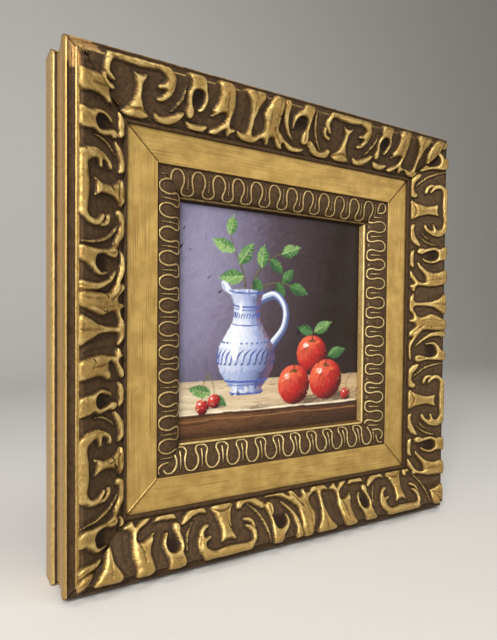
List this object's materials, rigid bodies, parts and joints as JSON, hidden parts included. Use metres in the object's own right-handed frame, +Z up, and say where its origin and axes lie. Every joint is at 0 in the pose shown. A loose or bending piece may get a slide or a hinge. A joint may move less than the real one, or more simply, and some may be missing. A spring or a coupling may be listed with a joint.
{
  "type": "framed painting",
  "caption": "Small square painted panel in a carved and gilded mitred frame with a plain gilt flat and a looped sight strip, made to hang flat on a wall.",
  "frame": {"origin": "hanging point: the middle of the top moulding's flat back, on the wall plane", "axes": "+Z up, +Y into the wall, so the picture faces -Y and +X is to its viewer's right"},
  "size_m": [0.29, 0.0464, 0.29],
  "materials": {
    "carved_moulding_top": "gilded over a dark brown toned ground, rubbed",
    "carved_moulding_right": "gilded over a dark brown toned ground, rubbed",
    "carved_moulding_bottom": "gilded over a dark brown toned ground, rubbed",
    "carved_moulding_left": "gilded over a dark brown toned ground, rubbed",
    "liner_moulding_top": "satin gilt flat with fine brown grain, brown toned looped strip",
    "liner_moulding_right": "satin gilt flat with fine brown grain, brown toned looped strip",
    "liner_moulding_bottom": "satin gilt flat with fine brown grain, brown toned looped strip",
    "liner_moulding_left": "satin gilt flat with fine brown grain, brown toned looped strip",
    "painted_panel": "oil paint on a primed panel, satin varnish"
  },
  "bodies": {
    "root": {"carved_moulding_top": "carved_moulding_top", "carved_moulding_right": "carved_moulding_right", "carved_moulding_bottom": "carved_moulding_bottom", "carved_moulding_left": "carved_moulding_left", "liner_moulding_top": "liner_moulding_top", "liner_moulding_right": "liner_moulding_right", "liner_moulding_bottom": "liner_moulding_bottom", "liner_moulding_left": "liner_moulding_left", "painted_panel": "painted_panel"}
  },
  "joints": []
}
